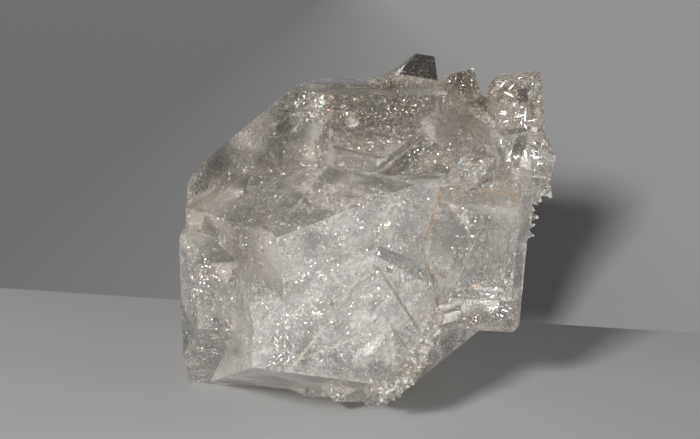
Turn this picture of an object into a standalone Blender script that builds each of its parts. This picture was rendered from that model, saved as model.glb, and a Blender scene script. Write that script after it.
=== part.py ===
# Herkimer diamond cluster: one solid of quartz crystals that grew together.
#
# Every crystal is a block sliced by flat faces, as quartz grows: six prism faces
# round a long axis, and six slanted faces at each end. The crystals are then
# joined into one body that rests on a flat face. Design sizes are millimetres.

import math
import random

import bmesh
import bpy
from mathutils import Matrix, Vector
from mathutils.bvhtree import BVHTree

NODE_NAME = "crystal_cluster"
COLLECTION_NAME = "herkimer_diamond_cluster"

MM = 0.001                # one millimetre in metres
END_FACE_TILT = 51.8      # degrees between the long axis and an end face's normal
BLOCK_SIZE = 240.0        # the block that each crystal is sliced from
ON_PLANE = 0.002          # a corner this close to a cut lies on it
WELD_DISTANCE = 0.01      # corners closer than this are one corner
FLAT_ANGLE = 0.05         # degrees: faces this close to one plane are one face
LEDGE_INSET = 1.5         # how far a ledge's hidden faces sit inside the crystal
NUDGE = (0.07, -0.05, 0.06)
TRIES = 4                 # how often a crystal that won't join cleanly is moved
UPRIGHT = 0.95            # an axis that rises more than this stands upright
TINY_HEAD = 0.35          # a tiny crystal's length, in its own widths
TINY_TAIL = 0.8
TINY_STAND = 0.15         # how far its centre stands out of the surface, in widths
TINY_SIZES = (0.7, 1.35)
TINY_HEADINGS = (-28, 28)
TINY_RISES = (-22, 22)
TINY_ROLLS = (0, 60)
TINY_SCATTER = (-0.5, 0.5)
SEED = 26

# A crystal's place and habit. axis is the heading and the rise of its long axis.
# prism, head and tail go round the axis, from the side that looks most upward.
# prism is each side's distance from the axis. head and tail say how far along
# the axis each side's end face starts. contacts are further flat faces, where
# the crystal met a neighbour: heading, rise and distance from the centre.

MAIN = dict(
    centre=(0, 8, 40.35), axis=(-98, 0), roll=0,
    prism=(40.35, 36, 34, 42, 38, 37.5),
    head=(19, 16, 12, 60, 14, 9),
    tail=(22, 20, 16, 8, 8, 20),
    contacts=((-90, 0, 50.3), (90, 0, 40), (12, 4, 33.5)),
)
TABLET = dict(
    centre=(26.5, -20.5, 36), axis=(90, 86.5), roll=0,
    prism=(4.5, 10.2, 12, 14, 18, 18),
    head=(19, 30, 30, 22, 30, 30),
    tail=(5, 22, 22, 2.5, 22, 16),
    contacts=((-5, 68, 22.3),),
)
LOBE = dict(
    centre=(-5, -15, 9), axis=(-18, -20), roll=8,
    prism=6.8, head=4.5, tail=6,
)

# Crystals that met neighbours on every side show contact faces alone.
UPPER_FRONT = dict(
    centre=(0, -26, 50),
    contacts=(
        (0, 50, 8.5), (-58, 56, 15.4), (19, 5, 5.3), (17, 72, 11.2), (80, -15, 13.7),
        (-55, -5, 25.6), (-90, 0, 48.5), (180, 0, 25), (-5, -60, 22), (90, -31, 26),
        (0, 90, 22),
    ),
)
LOWER_FRONT = dict(
    centre=(-2, -26, 28),
    contacts=(
        (12, 3, 10.2), (0, 60, 19), (-40, 48, 20), (40, 40, 17.5), (80, 24, 19.6),
        (86, 2, 18.4), (-72, 5, 29), (180, 0, 25), (90, -31, 17.3), (-13.5, -63, 17.8),
        (0, -90, 32), (0, 90, 28),
    ),
)
LEFT_CORNER = dict(
    centre=(-36, -10, 20),
    contacts=(
        (-8, 4, 13), (-62, 0, 12), (-90, 0, 13), (-20, 62, 22.6), (-8, -43, 7.8),
        (0, -90, 24), (90, 0, 20), (180, 0, 30), (0, 90, 24),
    ),
)
TOP_PYRAMID = dict(
    centre=(13, 5, 84),
    contacts=(
        (15, 40, 2.6), (5, -12, 3.6), (-80, 50, 4.4), (-40, 10, 6.5), (-75, 0, 7.2),
        (85, 10, 5.2), (180, 30, 4), (0, -90, 6),
    ),
)

# Small clear crystals at the upper right, and those on the hidden back.
SATELLITES = (
    dict(centre=(24.5, 3, 80), axis=(30, 50), roll=10, prism=5.2, head=1.5, tail=3),
    dict(centre=(39, -2, 75.5), axis=(-90, 83), roll=0, prism=(5, 5.8, 5.8, 6, 6.2, 6.2),
         head=(2.5, 9, 9, 3, 7, 7), tail=5),
    dict(centre=(40, -5, 62.5), axis=(140, 60), roll=0, prism=8.2, head=2.5, tail=4),
    dict(centre=(25, -17, 60.5), axis=(70, 38), roll=24, prism=5.6, head=2, tail=3),
    dict(centre=(31.5, 6, 74), axis=(55, 62), roll=40, prism=4, head=2, tail=3),
    dict(centre=(2.5, 12, 80), axis=(-130, 48), roll=5, prism=2.6, head=1, tail=2),
    dict(centre=(33, 14, 64), axis=(125, 30), roll=15, prism=8.5, head=3, tail=4),
    dict(centre=(15, 36, 42), axis=(165, 25), roll=30, prism=13, head=5, tail=6),
    dict(centre=(-25, 33, 36), axis=(-150, 14), roll=12, prism=11.5, head=4, tail=5),
    dict(centre=(-6, 40, 58), axis=(178, 48), roll=0, prism=5.5, head=2, tail=3),
    dict(centre=(0, 31, 13), axis=(178, -12), roll=18, prism=9.5, head=3, tail=5),
)

# Growth ledges: one face of a crystal stands proud over the part of it that
# the ledge's own flat faces leave. toward picks the face.
LEDGES = (
    dict(on=MAIN, toward=(-8, 30), rise=0.8, edges=((0, 62, 39.8), (-82, 12, 30), (70, 6, 27))),
    dict(on=MAIN, toward=(-8, 30), rise=1.6, edges=((8, 62, 37), (-88, -8, 11), (74, 20, 34))),
    dict(on=MAIN, toward=(0, 90), rise=0.7, edges=((-5, 30, 22), (90, 30, 26))),
    dict(on=MAIN, toward=(-60, 30), rise=0.9, edges=((-10, 62, 33), (60, 20, -2))),
    dict(on=MAIN, toward=(172, 30), rise=1.0, edges=((180, 60, 40), (-90, 5, 22), (95, 10, 12))),
    dict(on=MAIN, toward=(172, -30), rise=1.1, edges=((-120, -10, 26), (100, 0, 20))),
    dict(on=TABLET, toward=(0, 0), rise=0.8, edges=((-62, 20, 6), (0, 74, 14))),
    dict(on=UPPER_FRONT, toward=(0, 50), rise=0.8, edges=((-62, 30, 1.5), (-10, 80, 12))),
    dict(on=UPPER_FRONT, toward=(19, 5), rise=0.9, edges=((-74, 22, -1), (48, 40, 10.5))),
    dict(on=LOWER_FRONT, toward=(12, 3), rise=0.9, edges=((-38, 34, 13), (58, 26, 13.5))),
    dict(on=LOWER_FRONT, toward=(12, 3), rise=1.8, edges=((-24, 62, 3), (-80, -20, 17), (66, 30, 9))),
    dict(on=LEFT_CORNER, toward=(-8, 4), rise=0.9, edges=((-60, 40, 5), (70, -20, 4))),
)

# Crusts of tiny crystals. Each runs from start to end, and its crystals are set
# where a line going toward the cluster meets the surface.
CRUSTS = (
    dict(start=(17.5, -40, 27), end=(4.5, -40, 3), toward=(-0.12, 1, 0.05), rows=3,
         row_step=(-1.9, 0, 1.0), spacing=2.3, width=1.5),
    dict(start=(3, -40, 4.5), end=(-1, -40, 1.5), toward=(0, 1, 0), rows=3,
         row_step=(1.8, 0, -0.4), spacing=1.9, width=1.6),
    dict(start=(55, -13, 56), end=(55, -16, 43), toward=(-1, 0.1, 0), rows=2,
         row_step=(0, 2.1, 0.3), spacing=2.2, width=1.4),
    dict(start=(52, -16, 54), end=(52, -8, 52), toward=(-1, 0.4, 0.1), rows=2,
         row_step=(0, 1.2, 1.9), spacing=2.4, width=1.3),
    dict(start=(27, -12, 95), end=(33, -8, 95), toward=(0, 0.15, -1), rows=2,
         row_step=(0.6, 2.2, 0), spacing=2.4, width=1.5),
    dict(start=(4, 2, 95), end=(9, -2, 95), toward=(0, 0, -1), rows=1,
         row_step=(0, 2, 0), spacing=2.1, width=1.2),
    dict(start=(-20, 70, 30), end=(8, 70, 24), toward=(0, -1, 0), rows=3,
         row_step=(0.9, 0, -2.3), spacing=2.6, width=1.8),
    dict(start=(32, 60, 55), end=(36, 60, 40), toward=(-0.2, -1, 0), rows=2,
         row_step=(-2.2, 0, 0.4), spacing=2.5, width=1.7),
)

# Pits: hollows with a crystal's own shape, set along lines as the crusts are.
PITS = (
    dict(start=(-30, -60, 24), end=(10, -60, 30), toward=(0, 1, 0), rows=3,
         row_step=(1.5, 0, 6.5), spacing=8, width=0.9),
    dict(start=(-40, -60, 14), end=(-38, -60, 36), toward=(0, 1, 0), rows=2,
         row_step=(4, 0, 1), spacing=5, width=1.0),
    dict(start=(-40, -60, 50), end=(-4, -60, 60), toward=(0, 1, -0.3), rows=2,
         row_step=(3, 0, -3), spacing=8, width=0.9),
    dict(start=(20, -60, 30), end=(34, -60, 44), toward=(0, 1, 0), rows=2,
         row_step=(-4, 0, 5), spacing=7, width=0.9),
    dict(start=(-46, -60, 54), end=(-44, -60, 53), toward=(0, 1, 0), rows=1,
         row_step=(0, 0, 0), spacing=2, width=1.5),
    dict(start=(29, -40, 77), end=(31, -40, 76), toward=(0, 1, 0), rows=1,
         row_step=(0, 0, 0), spacing=1, width=1.4),
    dict(start=(-30, 90, 50), end=(30, 90, 56), toward=(0, -1, -0.1), rows=2,
         row_step=(4, 0, -9), spacing=9, width=1.1),
)


def facing(heading, rise):
    # Heading 0 looks along -Y and turns toward +X. Rise lifts it toward +Z.
    turn = math.radians(heading)
    lift = math.radians(rise)
    level = math.cos(lift)
    return Vector((level * math.sin(turn), -level * math.cos(turn), math.sin(lift)))


def six(value):
    # One value for all six sides, or six of them.
    if isinstance(value, (tuple, list)):
        return value
    return (value,) * 6


def upward_side(axis):
    # The side of a crystal that looks most upward, or forward on an upright one.
    upright = abs(axis.z) > UPRIGHT
    reference = Vector((0, -1, 0)) if upright else Vector((0, 0, 1))
    return (reference - axis * axis.dot(reference)).normalized()


def habit_faces(crystal):
    # Normals and distances of the prism, head and tail faces.
    axis = facing(*crystal["axis"])
    first = upward_side(axis)
    along = math.cos(math.radians(END_FACE_TILT))
    across = math.sin(math.radians(END_FACE_TILT))
    sizes = zip(six(crystal["prism"]), six(crystal["head"]), six(crystal["tail"]))
    faces = []
    for side, (prism, head, tail) in enumerate(sizes):
        turn = math.radians(crystal["roll"] + 60 * side)
        outward = Matrix.Rotation(turn, 3, axis) @ first
        faces.append((outward, prism))
        faces.append((axis * along + outward * across, head * along + prism * across))
        faces.append((-axis * along + outward * across, tail * along + prism * across))
    return faces


def crystal_faces(crystal):
    faces = habit_faces(crystal) if "axis" in crystal else []
    for heading, rise, distance in crystal.get("contacts", ()):
        faces.append((facing(heading, rise), distance))
    return faces


def ledge_faces(ledge):
    # The crystal's faces drawn in a little, but for the one that stands proud.
    faces = crystal_faces(ledge["on"])
    aim = facing(*ledge["toward"])
    proud = max(range(len(faces)), key=lambda index: faces[index][0].dot(aim))
    drawn = [(normal, distance - LEDGE_INSET) for normal, distance in faces]
    drawn[proud] = (faces[proud][0], faces[proud][1] + ledge["rise"])
    return drawn + [(facing(heading, rise), far) for heading, rise, far in ledge["edges"]]


def slice_off(mesh, point, normal):
    # Removes all that lies beyond one flat face and closes the cut.
    whole = mesh.verts[:] + mesh.edges[:] + mesh.faces[:]
    bmesh.ops.bisect_plane(
        mesh, geom=whole, dist=ON_PLANE, plane_co=point, plane_no=normal, clear_outer=True
    )
    rim = [edge for edge in mesh.edges if edge.is_boundary]
    if rim:
        bmesh.ops.edgeloop_fill(mesh, edges=rim)


def grow(centre, faces):
    # A crystal as a mesh object in metres, sliced from a block by flat faces.
    mesh = bmesh.new()
    bmesh.ops.create_cube(mesh, size=BLOCK_SIZE)
    for normal, distance in faces:
        slice_off(mesh, normal * distance, normal)
    bmesh.ops.remove_doubles(mesh, verts=mesh.verts, dist=WELD_DISTANCE)
    bmesh.ops.recalc_face_normals(mesh, faces=mesh.faces)
    bmesh.ops.translate(mesh, vec=centre, verts=mesh.verts)
    bmesh.ops.scale(mesh, vec=(MM, MM, MM), verts=mesh.verts)
    return add_object("crystal", mesh, HELPERS)


def add_object(name, mesh, collection):
    data = bpy.data.meshes.new(name)
    mesh.to_mesh(data)
    mesh.free()
    item = bpy.data.objects.new(name, data)
    collection.objects.link(item)
    return item


def add_collection(name):
    collection = bpy.data.collections.new(name)
    bpy.context.scene.collection.children.link(collection)
    return collection


def is_closed(data):
    # True where every edge joins exactly two faces.
    mesh = bmesh.new()
    mesh.from_mesh(data)
    closed = all(edge.is_manifold for edge in mesh.edges)
    mesh.free()
    return closed


def combine(body, other, operation):
    # Joins or cuts the body with another closed solid, which is then removed.
    # The body stays as it was where the result wouldn't be one closed surface.
    other.hide_render = True
    other.display_type = "WIRE"
    step = body.modifiers.new("combine", "BOOLEAN")
    step.operation = operation
    step.solver = "EXACT"
    step.object = other
    bpy.context.view_layer.update()
    graph = bpy.context.evaluated_depsgraph_get()
    joined = bpy.data.meshes.new_from_object(body.evaluated_get(graph))
    body.modifiers.remove(step)
    bpy.data.objects.remove(other)
    closed = is_closed(joined)
    if closed:
        body.data = joined
    return closed


def combine_crystal(body, centre, faces, operation):
    # A crystal that just grazes an edge is tried again, a nudge further on.
    spot = Vector(centre)
    for _ in range(TRIES):
        if combine(body, grow(spot, faces), operation):
            return True
        spot += Vector(NUDGE)
    return False


def crystals_along(body, line, chance):
    # Tiny crystals along one line, each set on the surface it meets.
    mesh = bmesh.new()
    mesh.from_mesh(body.data)
    surface = BVHTree.FromBMesh(mesh)
    mesh.free()
    start = Vector(line["start"])
    run = Vector(line["end"]) - start
    toward = Vector(line["toward"]).normalized()
    count = max(2, round(run.length / line["spacing"]))
    crystals = []
    for row in range(line["rows"]):
        for step in range(count):
            share = (step + 0.5 * (row % 2)) / count
            jitter = Vector([chance.uniform(*TINY_SCATTER) for _ in range(3)])
            origin = start + run * share + Vector(line["row_step"]) * row + jitter
            heading = chance.uniform(*TINY_HEADINGS)
            rise = chance.uniform(*TINY_RISES)
            width = line["width"] * chance.uniform(*TINY_SIZES)
            roll = chance.uniform(*TINY_ROLLS)
            spot, normal, _, _ = surface.ray_cast(origin * MM, toward)
            if spot is None:
                continue
            crystals.append(tiny_crystal(spot / MM, normal, (heading, rise, roll), width))
    return crystals


def tiny_crystal(spot, normal, turns, width):
    # A stubby pointed crystal that stands mostly out of the surface.
    heading, rise, roll = turns
    flat_heading = math.degrees(math.atan2(normal.x, -normal.y))
    flat_rise = math.degrees(math.asin(max(-1.0, min(1.0, normal.z))))
    return dict(
        centre=tuple(spot + normal * width * TINY_STAND),
        axis=(flat_heading + heading, flat_rise + rise),
        roll=roll, prism=width, head=width * TINY_HEAD, tail=width * TINY_TAIL,
    )


def rest_block():
    # Everything above the resting face.
    mesh = bmesh.new()
    middle = Matrix.Translation((0, 0, BLOCK_SIZE / 2))
    bmesh.ops.create_cube(mesh, size=BLOCK_SIZE, matrix=middle)
    bmesh.ops.scale(mesh, vec=(MM, MM, MM), verts=mesh.verts)
    return add_object("rest_block", mesh, HELPERS)


def clean(body):
    # Merges corners that all but touch, and faces that lie in one plane.
    mesh = bmesh.new()
    mesh.from_mesh(body.data)
    bmesh.ops.remove_doubles(mesh, verts=mesh.verts, dist=WELD_DISTANCE * MM)
    bmesh.ops.dissolve_limit(
        mesh, angle_limit=math.radians(FLAT_ANGLE), verts=mesh.verts, edges=mesh.edges
    )
    bmesh.ops.triangulate(mesh, faces=mesh.faces)
    mesh.to_mesh(body.data)
    mesh.free()


def centre_on_base(body):
    # The origin goes to the middle of the base's level, under the whole body.
    corners = [vertex.co for vertex in body.data.vertices]
    low = Vector([min(corner[axis] for corner in corners) for axis in range(3)])
    high = Vector([max(corner[axis] for corner in corners) for axis in range(3)])
    middle = (low + high) / 2
    body.data.transform(Matrix.Translation((-middle.x, -middle.y, -low.z)))
    print("centred by", [round(value / MM, 2) for value in (-middle.x, -middle.y, -low.z)])


def quartz_material():
    material = bpy.data.materials.new("clear_quartz")
    material.use_nodes = True
    shader = material.node_tree.nodes["Principled BSDF"]
    shader.inputs["Base Color"].default_value = (0.80, 0.77, 0.73, 1)
    shader.inputs["Metallic"].default_value = 0.0
    shader.inputs["Roughness"].default_value = 0.08
    shader.inputs["IOR"].default_value = 1.544
    return material


for old in list(bpy.data.objects):
    bpy.data.objects.remove(old)

PARTS = add_collection(COLLECTION_NAME)
HELPERS = add_collection("growth_helpers")

cluster = grow(Vector(MAIN["centre"]), crystal_faces(MAIN))
neighbours = (LEFT_CORNER, LOWER_FRONT, UPPER_FRONT, TABLET, LOBE, TOP_PYRAMID)
for crystal in neighbours + SATELLITES:
    combine_crystal(cluster, crystal["centre"], crystal_faces(crystal), "UNION")
for ledge in LEDGES:
    combine_crystal(cluster, ledge["on"]["centre"], ledge_faces(ledge), "UNION")

random_growth = random.Random(SEED)
for lines, operation in ((PITS, "DIFFERENCE"), (CRUSTS, "UNION")):
    tiny_crystals = []
    for line in lines:
        tiny_crystals += crystals_along(cluster, line, random_growth)
    joined_count = 0
    for tiny in tiny_crystals:
        joined_count += combine_crystal(cluster, tiny["centre"], crystal_faces(tiny), operation)
    print(joined_count, "of", len(tiny_crystals), "tiny crystals by", operation)

trimmed = combine(cluster, rest_block(), "INTERSECT")
clean(cluster)
print("trimmed at the rest level:", trimmed, "closed:", is_closed(cluster.data))
centre_on_base(cluster)

cluster.name = NODE_NAME
cluster.data.name = NODE_NAME
cluster.data.materials.clear()
cluster.data.materials.append(quartz_material())
HELPERS.objects.unlink(cluster)
PARTS.objects.link(cluster)
print(len(cluster.data.polygons), "triangles")
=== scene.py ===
import math

import bmesh
import bpy
import numpy as np
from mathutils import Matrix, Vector, noise
from mathutils.bvhtree import BVHTree


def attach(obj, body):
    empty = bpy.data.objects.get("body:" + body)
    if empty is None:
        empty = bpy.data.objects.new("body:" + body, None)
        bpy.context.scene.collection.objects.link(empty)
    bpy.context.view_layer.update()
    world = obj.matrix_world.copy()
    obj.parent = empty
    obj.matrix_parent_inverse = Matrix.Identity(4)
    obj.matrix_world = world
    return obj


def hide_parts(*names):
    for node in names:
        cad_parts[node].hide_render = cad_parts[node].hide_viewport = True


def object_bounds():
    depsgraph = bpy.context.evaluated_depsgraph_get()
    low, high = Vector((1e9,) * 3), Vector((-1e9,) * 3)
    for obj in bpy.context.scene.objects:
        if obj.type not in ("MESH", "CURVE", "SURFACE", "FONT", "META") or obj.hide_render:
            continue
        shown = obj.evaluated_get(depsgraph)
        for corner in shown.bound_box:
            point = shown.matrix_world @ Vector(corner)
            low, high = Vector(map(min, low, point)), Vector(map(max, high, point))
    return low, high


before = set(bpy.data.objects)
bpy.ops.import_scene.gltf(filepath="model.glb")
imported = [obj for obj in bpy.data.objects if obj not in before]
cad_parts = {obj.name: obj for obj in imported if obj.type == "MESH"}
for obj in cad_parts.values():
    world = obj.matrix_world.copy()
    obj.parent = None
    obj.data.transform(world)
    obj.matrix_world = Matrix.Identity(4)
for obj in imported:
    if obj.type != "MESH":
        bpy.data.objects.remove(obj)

mm = 0.001
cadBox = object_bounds()


# small helpers

def deselectAll():
    if bpy.context.mode != "OBJECT":
        bpy.ops.object.mode_set(mode="OBJECT")
    bpy.ops.object.select_all(action="DESELECT")


def onlySelect(piece):
    deselectAll()
    piece.select_set(True)
    bpy.context.view_layer.objects.active = piece


def applyPlace(piece):
    onlySelect(piece)
    bpy.ops.object.transform_apply(location=True, rotation=True, scale=True)


def editing(piece):
    # edit mode with nothing selected, and the mesh to pick parts of it by code
    onlySelect(piece)
    bpy.ops.object.mode_set(mode="EDIT")
    bpy.ops.mesh.select_all(action="DESELECT")
    return bmesh.from_edit_mesh(piece.data)


def meshPoints(mesh):
    places = np.empty(len(mesh.vertices) * 3)
    mesh.vertices.foreach_get("co", places)
    return places.reshape(-1, 3)


def meshTriangles(mesh):
    mesh.calc_loop_triangles()
    corners = np.empty(len(mesh.loop_triangles) * 3, np.int32)
    mesh.loop_triangles.foreach_get("vertices", corners)
    return corners.reshape(-1, 3)


def newMaterial(name):
    material = bpy.data.materials.new(name)
    material.use_nodes = True
    tree = material.node_tree
    return material, tree, tree.nodes["Principled BSDF"]


def addNode(tree, kind, inputs=None, **settings):
    node = tree.nodes.new(kind)
    for key, value in settings.items():
        setattr(node, key, value)
    for key, value in (inputs or {}).items():
        node.inputs[key].default_value = value
    return node


def setSocket(tree, socket, value):
    # a number or a colour is set on the socket, and a node's output is linked to it
    if isinstance(value, (int, float)):
        socket.default_value = value
    elif isinstance(value, tuple):
        socket.default_value = (*value, 1)
    else:
        tree.links.new(value, socket)


def mathNode(tree, operation, *values, clamp=False):
    node = addNode(tree, "ShaderNodeMath", operation=operation, use_clamp=clamp)
    for socket, value in zip(node.inputs, values):
        setSocket(tree, socket, value)
    return node.outputs[0]


def mixColour(tree, share, first, second, mode="MIX"):
    node = addNode(tree, "ShaderNodeMix", data_type="RGBA", blend_type=mode)
    for number, value in ((0, share), (6, first), (7, second)):
        setSocket(tree, node.inputs[number], value)
    return node.outputs[2]


def objectPlace(tree):
    return addNode(tree, "ShaderNodeTexCoord").outputs["Object"]


def faceValue(tree, name):
    return addNode(tree, "ShaderNodeAttribute", attribute_name=name).outputs["Fac"]


def noiseTexture(tree, place, scale, detail=3.0, roughness=0.55, distortion=0.0):
    inputs = {"Scale": scale, "Detail": detail, "Roughness": roughness, "Distortion": distortion}
    node = addNode(tree, "ShaderNodeTexNoise", inputs)
    tree.links.new(place, node.inputs["Vector"])
    return node.outputs["Fac"]


def ramp(tree, source, tones):
    # colour or grey steps along a 0..1 value
    node = addNode(tree, "ShaderNodeValToRGB")
    steps = node.color_ramp.elements
    while len(steps) < len(tones):
        steps.new(0.5)
    for step, (place, tone) in zip(steps, tones):
        step.position = place
        step.color = (*tone, 1) if isinstance(tone, tuple) else (tone, tone, tone, 1)
    tree.links.new(source, node.inputs["Fac"])
    return node.outputs["Color"]


def finishPiece(piece):
    print(piece.name + ":", len(meshTriangles(piece.data)), "triangles")
    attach(piece, "root")


# where the milk is: middle and reach in mm, and how much it adds to or takes from the level
milkZones = (
    ((-12, -38, 27), (24, 16, 12), 0.95),    # lower front crystal
    ((8, -34, 30), (11, 14, 13), 0.35),
    ((3, -33, 48), (15, 13, 9), 0.4),        # upper front crystal
    ((8, -12, 74), (34, 20, 9), -0.14),      # clear top of the main crystal
    ((-14, -15, 77), (6, 6, 6), 0.9),        # bright veil near its top edge
    ((-33, 0, 66), (9, 12, 10), -0.12),
    ((28, -27, 44), (10, 9, 14), 0.1),       # upright crystal on the right
    ((32, -27, 28), (8, 7, 6), 0.3),
    ((-38, -25, 26), (6, 7, 8), 0.3),        # left corner
    ((-37, -15, 8), (10, 12, 6), -0.1),
    ((40, -8, 76), (13, 13, 10), -0.12),     # clear points at the upper right
    ((15, -3, 86), (7, 7, 6), -0.5),
    ((41, -17, 64), (7, 7, 6), 0.15),
    ((0, 38, 36), (28, 14, 18), 0.3),        # back
    ((-42, 12, 32), (10, 18, 16), 0.25),
    ((44, 8, 34), (10, 18, 18), 0.22),
)
baseMilk = 0.12

# where the iron stain is, in the same way
stainZones = (
    ((13, -12, 80), (40, 14, 5), 0.5),    # top band of the main crystal
    ((-32, -4, 66), (10, 14, 11), 0.45),
    ((10, -24, 69), (22, 8, 8), 0.3),
    ((-30, -27, 50), (12, 12, 9), 0.25),
    ((25, -8, 82), (5, 5, 5), 0.9),       # small point beside the pyramid
    ((26, -20, 62), (9, 8, 5), 0.5),
    ((6, 0, 82), (4, 5, 4), 0.7),
    ((42, -10, 72), (10, 10, 12), 0.3),
)
baseStain = 0.22

# zones of smoky tint and painted shade, and how dark each is: most darken clear faces that the key
# lamp would light too brightly
smokeAndShadeZones = (
    ((15, -2, 88.5), (5, 4, 2.6), 1.1),    # upper face of the pyramid: a painted dark reflection
    ((-41, 4, 60), (8, 10, 8), 0.85),      # shoulder of the main crystal: painted shade
    ((-30, -8, 62), (11, 12, 9), 0.5),
    ((-21, -13, 67), (9, 8, 8), 0.55),
    ((-28, -28, 52), (12, 9, 7), 0.42),
    ((-33, -31, 43), (7, 8, 6), 0.55),
    ((-39, -26, 31), (7, 8, 9), 0.35),
    ((11, -42, 29), (5, 6, 7), 0.25),
    ((28, -20, 64), (6, 6, 5), 0.6),
    ((4, -24, 72), (22, 7, 6), 0.3),
    ((25, -8, 83), (5, 5, 4), 0.8),
    ((42, -17, 64), (8, 7, 6), 0.14),
    ((28, -30, 48), (9, 6, 11), 0.3),
    ((-41, -22, 14), (7, 8, 8), 0.35),
    ((-23, -6, 76), (8, 7, 5), 0.35),
    ((2, -8, 81), (24, 12, 3), 0.5),
    ((31, -3, 76), (1.2, 4, 6), 1.0),      # slit beside the clear points: painted shade
    # a pit on the shoulder of the main crystal: painted shade
    ((-44.7, 5.3, 52.7), (3, 3, 3), 0.6),
    ((-37.5, -28, 24), (2.2, 3, 2.2), 0.5),
)


def zoneLevel(points, zones, level, least=0.0, most=1.0):
    levels = np.full(len(points), level)
    for middle, reach, amount in zones:
        away = (points / mm - np.array(middle)) / np.array(reach)
        levels += amount * np.exp(-(away ** 2).sum(1))
    return np.clip(levels, least, most)


# tones of single faces: a point on the face in mm, its milk, and its stain
faceTones = (
    ((-9, -44, 31), 1, 0),          # lower front crystal
    ((-1, -43, 30), 0.85, 0),
    ((-1, -45, 21), 0.95, 0),
    ((-32, -35, 22), 0.5, 0.1),
    ((-24, -41, 36), 0.75, 0.05),
    ((-20, -27, 8), 0.3, 0.15),     # undercut above the desk
    ((-5, -40, 49), 0.75, 0.03),    # upper front crystal
    ((8, -36, 50), 0.75, 0.05),
    ((9, -38, 42), 0.45, 0.1),
    ((-8, -36, 58), 0.4, 0.4),
    ((-27, -24, 56), 0.4, 0.45),
    ((-31, -31, 44), 0.4, 0.5),
    ((3, -22, 74), 0.03, 0.6),      # main crystal
    ((0, -26, 69), 0.2, 0.5),
    ((-4, -28, 65), 0.25, 0.5),
    ((-20, -13, 70), 0.2, 0.35),
    ((-33, -5, 62), 0.15, 0.4),
    ((24, -21, 71), 0.1, 0.55),
    ((-1, -2, 81), 0.03, 0.7),
    ((21, -16, 13), 0.3, 0.1),
    ((-46, -22, 29), 0.05, 0),      # left corner
    ((-39, -28, 32), 0.5, 0.2),
    ((-42, -22, 42), 0.4, 0.25),
    ((-42, -19, 12), 0.35, 0.2),
    ((25, -31, 45), 0.28, 0.15),    # upright crystal
    ((30, -32, 40), 0.22, 0.15),
    ((28, -27, 25), 0.25, 0.3),
    ((30, -29, 57), 0.15, 0.5),
    ((38, -28, 43), 0.1, 0.1),
    ((15, -28, 65), 0.12, 0.4),
    ((39, -10, 82), 0.08, 0.3),     # clear points
    ((40, -13, 74), 0.08, 0.3),
    ((44, -19, 64), 0.2, 0.3),
    ((38, -18, 66), 0.15, 0.3),
    ((15, -2, 86), 0, 0),
    ((13, -5, 82), 0.45, 0),
)
# the pyramid's upper face: its dark tone is a painted reflection of dark surroundings
darkReflectionFace = (15, -2, 86)

# bright patches that run over the faces
milkPatches = (
    ((-14, -17, 77), (4.5, 6, 6.5), 0.5),
    ((-24, -30, 47), (6, 6, 5), 0.3),
    ((-36, -26, 36), (5, 6, 4), 0.35),
)
faceRules = dict(
    turn=math.cos(math.radians(6)), gap=0.35 * mm,        # what counts as the same flat face
    toneShare=0.85,                                       # a face's own tone beside the zones'
    pitDepth=1.3 * mm, pitReach=17 * mm, pitPaintedLight=0.15,    # pits are milkier than their face: painted light that hides the dark rings of their hollows
    zoneMilk=0.85, leastMilk=0.01,                        # what the zones give, and the least
    # how dark the painted reflection on the pyramid's upper face is
    darkReflectionLevel=0.95,
    backRimHighlight=0.4,                                          # the rims' white, partly worn edges and partly a painted highlight, is weaker at the back
)


def paintFaces(piece):
    # each face takes its crystal's tone, so the joins between crystals show
    rules = faceRules
    polygons = piece.data.polygons
    middles = np.empty(len(polygons) * 3)
    normals = np.empty(len(polygons) * 3)
    polygons.foreach_get("center", middles)
    polygons.foreach_get("normal", normals)
    middles = middles.reshape(-1, 3)
    normals = normals.reshape(-1, 3)
    milk = zoneLevel(middles, milkZones, baseMilk, rules["leastMilk"]) * rules["zoneMilk"]
    stain = zoneLevel(middles, stainZones, baseStain)
    smoke_and_shade = zoneLevel(middles, smokeAndShadeZones, 0.0)
    share = rules["toneShare"]
    toned = np.zeros(len(polygons), bool)
    for point, faceMilk, faceStain in faceTones:
        near, normal, _, _ = shellSearch.find_nearest(Vector(point) * mm)
        along = middles @ np.array(normal) - near.dot(normal)
        same = (normals @ np.array(normal) > rules["turn"]) & (np.abs(along) < rules["gap"])
        toned |= same
        # pits get painted light, more milk than their face, so their hollows show no dark rings
        pitted = ~toned & (np.abs(along + rules["pitDepth"]) < rules["pitDepth"])
        pitted &= np.linalg.norm(middles - np.array(near), axis=1) < rules["pitReach"]
        milk[pitted] = np.maximum(milk[pitted], min(1.0, faceMilk + rules["pitPaintedLight"]))
        # the pyramid's upper face takes the painted dark reflection
        if point == darkReflectionFace:
            smoke_and_shade[same] = rules["darkReflectionLevel"]
        milk[same] = milk[same] * (1 - share) + faceMilk * share
        stain[same] = stain[same] * (1 - share) + faceStain * share
    milk = np.maximum(milk, zoneLevel(middles, milkPatches, 0.0))
    rim = np.empty(len(polygons), np.float32)
    piece.data.attributes["rim"].data.foreach_get("value", rim)
    # the rims turn white: worn edges with a painted highlight along them, weaker at the back
    milk = np.maximum(milk, np.where(middles[:, 1] > 0, rim * rules["backRimHighlight"], rim))
    for name, values in (("milk", milk), ("stain", stain), ("smoke_and_shade", smoke_and_shade)):
        layer = piece.data.attributes.new(name, "FLOAT", "FACE")
        layer.data.foreach_set("value", values.astype(np.float32))


# the shell: every outer face of the cluster, as one closed clear body

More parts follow.
